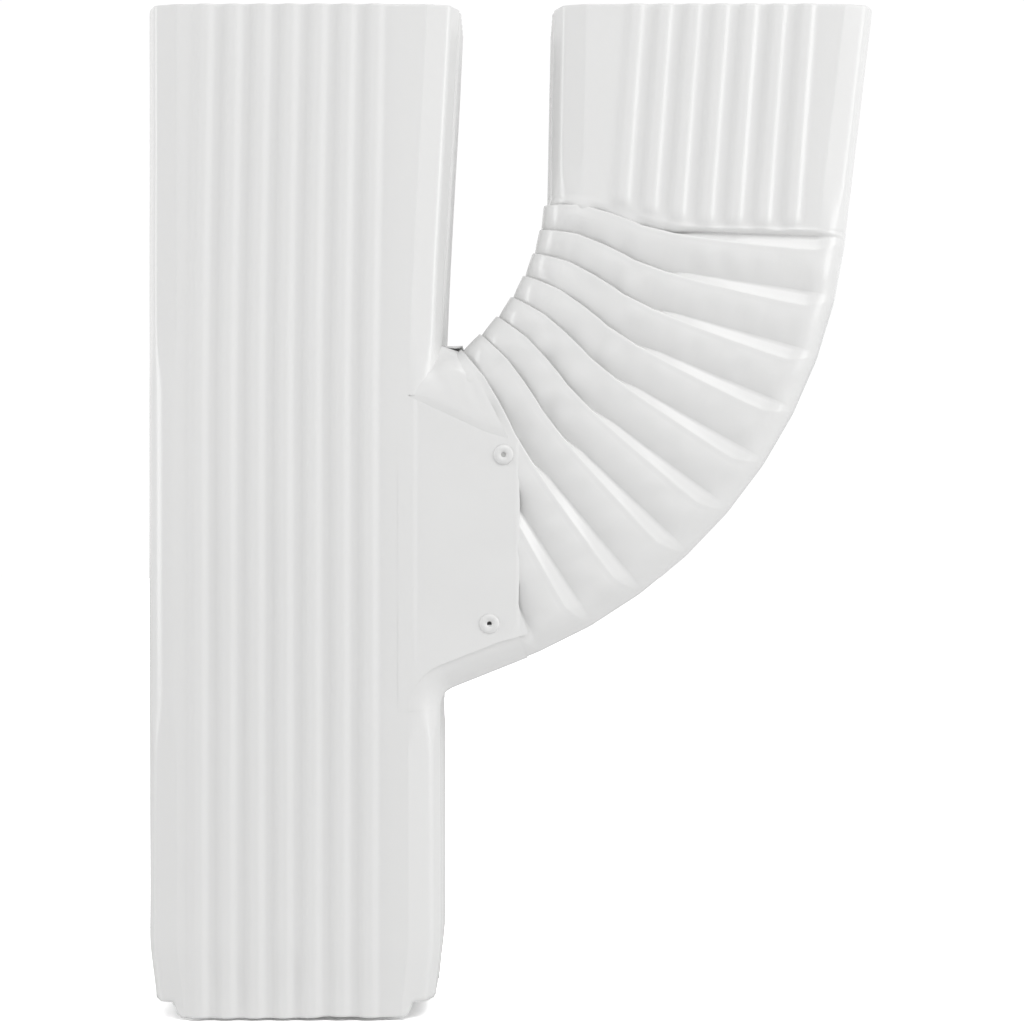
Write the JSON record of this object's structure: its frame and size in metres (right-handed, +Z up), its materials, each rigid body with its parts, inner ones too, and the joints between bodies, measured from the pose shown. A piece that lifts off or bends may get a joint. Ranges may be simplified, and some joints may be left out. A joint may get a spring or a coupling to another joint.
{
  "type": "downspout y connector",
  "caption": "White painted aluminium downspout Y: a straight ribbed rectangular tube with a pleated elbow let into its side under a riveted collar.",
  "frame": {"origin": "centre of the straight downspout's outlet, in the plane of its lower rim", "axes": "+Z up along the straight downspout, +X from it towards the elbow, -Y the front face"},
  "size_m": [0.267, 0.0826, 0.368],
  "materials": {
    "painted_sheet": "gloss white paint",
    "rivet_paint": "gloss white paint",
    "mandrel_steel": "bare broken steel"
  },
  "bodies": {
    "root": {"main_tube": "painted_sheet", "elbow": "painted_sheet", "rivets": "rivet_paint", "rivet_mandrels": "mandrel_steel"}
  },
  "joints": []
}
